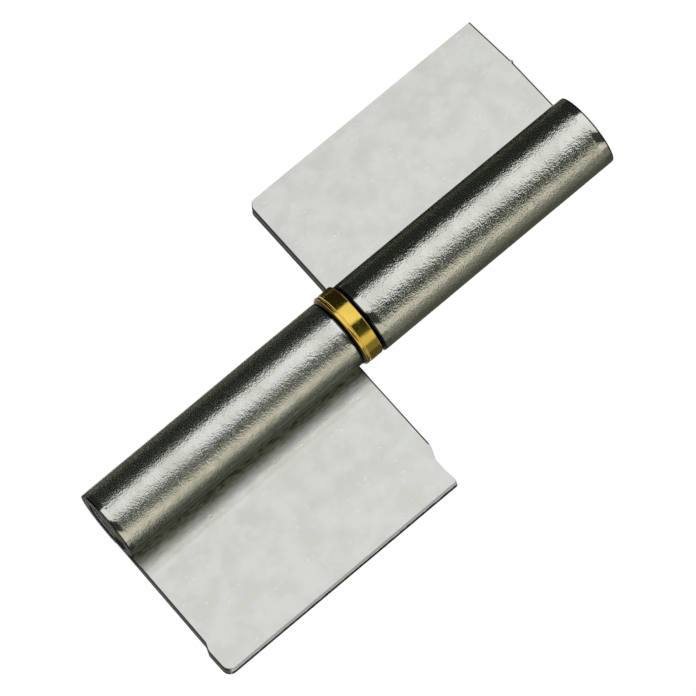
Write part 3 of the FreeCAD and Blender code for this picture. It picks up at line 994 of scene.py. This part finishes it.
def make_cut_steel(finish, sheet):
    """Sheared leaf edges: a burnished front and a torn, darker back, with painted shade on the short ends."""
    scales = {"Grain Scale": 5200.0, "Cloud Scale": 700.0, "Speck Scale": 900.0}
    material, shader, marks = start_material("sheared_edge_steel", scales)
    tree = material.node_tree
    thick = sheet.sheet_thickness
    back = sheet.knuckle_diameter / 2
    depth = parts_of(tree, object_place(tree))["Y"]
    ragged = work_out(tree, "MULTIPLY_ADD", marks["Clouds"], TORN_RAGGED * thick, depth)
    torn = rescale(tree, ragged, back - TORN_NONE * thick, back - TORN_FULL * thick, 0.0, 1.0)
    facing = add_node(tree, "ShaderNodeNewGeometry").outputs["Normal"]
    endwise = work_out(tree, "ABSOLUTE", parts_of(tree, facing)["Z"])
    # The short ends are darkened as painted shade, a little lighter across the middle of the thickness
    in_middle = work_out(tree, "COMPARE", depth, back - thick / 2, MIDDLE_HALF * thick)
    dark_end = rescale(tree, in_middle, 0.0, 1.0, 1.0, MIDDLE_DARK)
    long_side = multiply(tree, torn, rescale(tree, endwise, *END_TURN, 1.0, 0.0))
    short_side = multiply(tree, dark_end, rescale(tree, endwise, *END_TURN, 0.0, 1.0))
    torn_and_shaded = work_out(tree, "MAXIMUM", long_side, short_side)
    feed(tree, mix(tree, torn_and_shaded, finish.cut_tint, finish.cut_shade), shader["Base Color"])
    set_gloss(tree, shader, torn_and_shaded, CUT_GLOSS)
    feed(tree, rescale(tree, torn_and_shaded, 0.0, 1.0, 0.15, 1.0), shader["Metallic"])
    set_relief(tree, shader, marks["Grain"], 0.2 * finish.grain_height)
    return material


def make_end_steel(finish):
    """Sawn knuckle ends, dull, and darkened with painted shade."""
    scales = {"Grain Scale": 4200.0, "Cloud Scale": 500.0, "Speck Scale": 700.0}
    material, shader, marks = start_material("sawn_end_steel", scales)
    tree = material.node_tree
    feed(tree, mix(tree, marks["Clouds"], finish.end_tint, finish.cut_shade), shader["Base Color"])
    set_gloss(tree, shader, marks["Clouds"], END_GLOSS)
    set_relief(tree, shader, marks["Grain"], 0.2 * finish.grain_height)
    return material


def make_pin_steel(finish):
    """Drawn bar, lightly oiled, with painted shade on its recessed foot."""
    scales = {"Grain Scale": 3600.0, "Cloud Scale": 420.0, "Speck Scale": 500.0}
    material, shader, marks = start_material("drawn_pin_steel", scales)
    tree = material.node_tree
    clean = mix(tree, marks["Clouds"], finish.pin_tint, finish.pin_shade)
    height = parts_of(tree, object_place(tree))["Z"]
    # Painted shade on the foot recessed in the bore
    shaded_foot = rescale(tree, height, PIN_LOW.z + 0.1 * MM, PIN_LOW.z + 0.6 * MM, FOOT_SHADE, 0.0)
    feed(tree, mix(tree, shaded_foot, clean, finish.dark_shade_tint), shader["Base Color"])
    set_gloss(tree, shader, marks["Clouds"], PIN_GLOSS)
    set_relief(tree, shader, marks["Grain"], 0.1 * finish.grain_height)
    return material


def make_ring_brass(finish, turned):
    """Turned brass, polished, with a breath of tarnish, painted shade on its chamfered rims and fine tool
    lines round it.
    """
    scales = {"Grain Scale": 1800.0, "Cloud Scale": 520.0, "Speck Scale": 800.0}
    material, shader, marks = start_material("turned_brass", scales)
    tree = material.node_tree
    clean = mix(tree, multiply(tree, marks["Clouds"], 0.5), finish.brass_tint, finish.brass_shade)
    height_off = work_out(tree, "ABSOLUTE", parts_of(tree, object_place(tree))["Z"])
    # Painted shade on the chamfered rims
    rim = RING_HIGH.z - turned.ring_chamfer
    shaded_rim = rescale(tree, height_off, rim - 0.05 * MM, rim + 0.1 * MM, 0.0, RIM_SHADE)
    feed(tree, mix(tree, shaded_rim, clean, finish.rim_shade_tint), shader["Base Color"])
    set_gloss(tree, shader, marks["Clouds"], BRASS_GLOSS)
    lines = speckle(tree, stretched_place(tree, (0.0, 0.0, 1.0)), 6000.0, 2.0)
    height = work_out(tree, "MULTIPLY_ADD", marks["Grain"], 0.5, lines)
    set_relief(tree, shader, height, 0.06 * finish.grain_height)
    return material


# Stage

def glow_material(name, colour):
    """An even card that reflections see as this colour."""
    material = bpy.data.materials.new(name)
    material.use_nodes = True
    tree = material.node_tree
    tree.nodes.clear()
    glow = add_node(tree, "ShaderNodeEmission")
    feed(tree, colour, glow.inputs["Color"])
    end = add_node(tree, "ShaderNodeOutputMaterial")
    feed(tree, glow.outputs["Emission"], end.inputs["Surface"])
    return material


def stand_card(name, radius, azimuths, elevations, material, lean=0.0):
    """A curved card round the hinge for reflections alone, between angles in degrees, aslant if it leans."""
    first, last = (math.radians(value) for value in azimuths)
    low, high = (radius * math.tan(math.radians(value)) for value in elevations)
    foot = Vector((radius * math.sin(first), -radius * math.cos(first), 0.0))
    bm = bmesh.new()
    ends = [bm.verts.new(foot + UP * low), bm.verts.new(foot + UP * high)]
    edge = bm.edges.new(ends)
    steps = max(int(abs(last - first) / CARD_FACET), 1)
    bmesh.ops.spin(
        bm, geom=ends + [edge], cent=(0.0, 0.0, 0.0), axis=UP, angle=last - first, steps=steps,
        use_duplicate=False,
    )
    for vert in bm.verts:
        vert.co.rotate(Matrix.Rotation(math.radians(lean) * vert.co.z, 3, "Z"))
    card = finish_mesh(bm, name, [material])
    card.visible_camera = False
    card.visible_diffuse = False
    card.visible_shadow = False


def lay_floor(stage):
    """A plain pale floor well below the hinge."""
    bm = bmesh.new()
    bmesh.ops.create_grid(bm, x_segments=2, y_segments=2, size=stage.floor_half)
    bmesh.ops.translate(bm, verts=bm.verts[:], vec=UP * -stage.floor_drop)
    material = bpy.data.materials.new("pale_floor")
    material.use_nodes = True
    shader = material.node_tree.nodes["Principled BSDF"]
    shader.inputs["Base Color"].default_value = (*stage.floor_tint, 1.0)
    shader.inputs["Roughness"].default_value = 0.9
    floor = finish_mesh(bm, "floor", [material])


def light_world(stage):
    """A white studio for the camera and for reflections, and a calmer one for matt surfaces."""
    world = bpy.data.worlds.new("white_studio")
    world.use_nodes = True
    bpy.context.scene.world = world
    tree = world.node_tree
    path = add_node(tree, "ShaderNodeLightPath").outputs
    seen = work_out(tree, "MAXIMUM", path["Is Camera Ray"], path["Is Glossy Ray"])
    shown = work_out(tree, "MAXIMUM", seen, path["Is Transmission Ray"])
    background = tree.nodes["Background"]
    feed(tree, mix(tree, shown, stage.room_tint, (1.0, 1.0, 1.0)), background.inputs["Color"])
    background.inputs["Strength"].default_value = 1.0


def towards(turn, lift):
    """The direction from the hinge to a place at this azimuth and elevation."""
    return Vector((math.sin(turn) * math.cos(lift), -math.cos(turn) * math.cos(lift), math.sin(lift)))


def hang_lamp(stage):
    """A square softbox that faces the hinge."""
    lamp = bpy.data.lights.new("softbox_high", "AREA")
    lamp.shape = "SQUARE"
    lamp.size = stage.lamp_side
    lamp.energy = stage.lamp_power
    out = towards(stage.lamp_azimuth, stage.lamp_elevation)
    holder = bpy.data.objects.new("softbox_high", lamp)
    holder.location = out * stage.lamp_distance
    holder.rotation_euler = out.to_track_quat("Z", "Y").to_euler()
    holder.visible_camera = False
    holder.visible_glossy = False
    bpy.context.scene.collection.objects.link(holder)


def set_camera(stage):
    """The camera at the photograph's viewing angle."""
    back = towards(stage.azimuth, stage.elevation)
    level = Vector((math.cos(stage.azimuth), math.sin(stage.azimuth), 0.0))
    upright = back.cross(level)
    right = level * math.cos(stage.roll) + upright * math.sin(stage.roll)
    top = upright * math.cos(stage.roll) - level * math.sin(stage.roll)
    lens = bpy.data.cameras.new("camera")
    lens.lens = stage.focal_length
    lens.sensor_width = 36.0
    lens.clip_start = 0.05
    lens.clip_end = 50.0
    camera = bpy.data.objects.new("camera", lens)
    place = Vector(stage.target) + back * stage.distance
    camera.matrix_world = Matrix.Translation(place) @ Matrix((right, top, back)).transposed().to_4x4()
    bpy.context.scene.collection.objects.link(camera)
    bpy.context.scene.camera = camera


# Operators

class HINGE_OT_leaves(bpy.types.Operator):
    """Roll the two steel leaves with their knuckles"""

    bl_idname = "hinge.leaves"
    bl_label = "Roll Leaves"

    def execute(self, context):
        scene = context.scene
        sheet = scene.hinge_sheet
        finish = scene.hinge_finish
        materials = [make_sheet_steel(finish), make_cut_steel(finish, sheet), make_end_steel(finish)]
        lower = scene.hinge_frame_leaf
        frame_place = Matrix.Translation(UP * (RING_LOW.z - sheet.knuckle_length))
        piece = roll_leaf(
            "frame_leaf_rolled", sheet, lower, frame_edges(sheet, lower), FRAME_SEED,
            frame_place, materials, nook_shaded=True,
        )
        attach(piece, "frame_half")
        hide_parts("frame_leaf")
        upper = scene.hinge_door_leaf
        turned_over = Matrix.Rotation(math.pi, 4, "Y")
        door_place = Matrix.Translation(UP * (RING_HIGH.z + sheet.knuckle_length)) @ turned_over
        piece = roll_leaf(
            "door_leaf_rolled", sheet, upper, door_edges(sheet, upper), DOOR_SEED,
            door_place, materials, nook_shaded=False,
        )
        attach(piece, "door_half")
        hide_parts("door_leaf")
        return {"FINISHED"}


class HINGE_OT_pin(bpy.types.Operator):
    """Turn the steel pin that is fixed in the lower knuckle"""

    bl_idname = "hinge.pin"
    bl_label = "Turn Pin"

    def execute(self, context):
        scene = context.scene
        turned = scene.hinge_turned
        steel = make_pin_steel(scene.hinge_finish)
        middle = box_axis(PIN_LOW, PIN_HIGH)
        piece = turn_profile("hinge_pin_turned", pin_profile(turned), middle, turned, [steel])
        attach(piece, "frame_half")
        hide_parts("hinge_pin")
        return {"FINISHED"}


class HINGE_OT_ring(bpy.types.Operator):
    """Turn the brass bearing ring between the knuckles"""

    bl_idname = "hinge.ring"
    bl_label = "Turn Ring"

    def execute(self, context):
        scene = context.scene
        turned = scene.hinge_turned
        brass = make_ring_brass(scene.hinge_finish, turned)
        middle = box_axis(RING_LOW, RING_HIGH)
        piece = turn_profile("brass_ring_turned", ring_profile(turned), middle, turned, [brass])
        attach(piece, "ring")
        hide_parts("brass_ring")
        return {"FINISHED"}


class HINGE_OT_stage(bpy.types.Operator):
    """Set the floor, the studio cards, the lamp and the camera"""

    bl_idname = "hinge.stage"
    bl_label = "Set Stage"

    def execute(self, context):
        scene = context.scene
        stage = scene.hinge_stage
        scene.view_settings.view_transform = "Standard"
        light_world(stage)
        lay_floor(stage)
        paints = {colour: glow_material(colour, getattr(stage, colour)) for *_, colour in CARDS}
        stand_card(
            "card_stripe", stage.stripe_radius, STRIPE_AZIMUTHS, STRIPE_ELEVATIONS, paints["dark_card"],
            lean=stage.stripe_lean,
        )
        for name, circle, steps_in, azimuths, elevations, colour in CARDS:
            radius = getattr(stage, circle) - steps_in * CARD_STEP
            stand_card(name, radius, azimuths, elevations, paints[colour])
        hang_lamp(stage)
        set_camera(stage)
        return {"FINISHED"}


class HINGE_PT_panel(bpy.types.Panel):
    """Lists the hinge's operators and settings in the sidebar"""

    bl_idname = "HINGE_PT_panel"
    bl_label = "Lift Off Hinge"
    bl_space_type = "VIEW_3D"
    bl_region_type = "UI"
    bl_category = "Hinge"

    def draw(self, context):
        layout = self.layout
        for operator in OPERATORS:
            layout.operator(operator.bl_idname)
        for holder, group in SETTINGS.items():
            box = layout.box()
            for key in group.__annotations__:
                box.prop(getattr(context.scene, holder), key)


SETTINGS = {
    "hinge_sheet": HingeSheet,
    "hinge_frame_leaf": HingeFrameLeaf,
    "hinge_door_leaf": HingeDoorLeaf,
    "hinge_turned": HingeTurned,
    "hinge_finish": HingeFinish,
    "hinge_stage": HingeStage,
}
OPERATORS = (HINGE_OT_leaves, HINGE_OT_pin, HINGE_OT_ring, HINGE_OT_stage)


def register():
    """Registers the settings, the operators and the panel."""
    for holder, group in SETTINGS.items():
        bpy.utils.register_class(group)
        setattr(bpy.types.Scene, holder, PointerProperty(type=group))
    for operator in OPERATORS:
        bpy.utils.register_class(operator)
    bpy.utils.register_class(HINGE_PT_panel)


def unregister():
    """Takes back what register added."""
    bpy.utils.unregister_class(HINGE_PT_panel)
    for operator in reversed(OPERATORS):
        bpy.utils.unregister_class(operator)
    for holder, group in reversed(SETTINGS.items()):
        delattr(bpy.types.Scene, holder)
        bpy.utils.unregister_class(group)


def main():
    """Builds every piece and the stage."""
    register()
    bpy.ops.hinge.leaves()
    bpy.ops.hinge.pin()
    bpy.ops.hinge.ring()
    bpy.ops.hinge.stage()


if __name__ == "__main__":
    main()
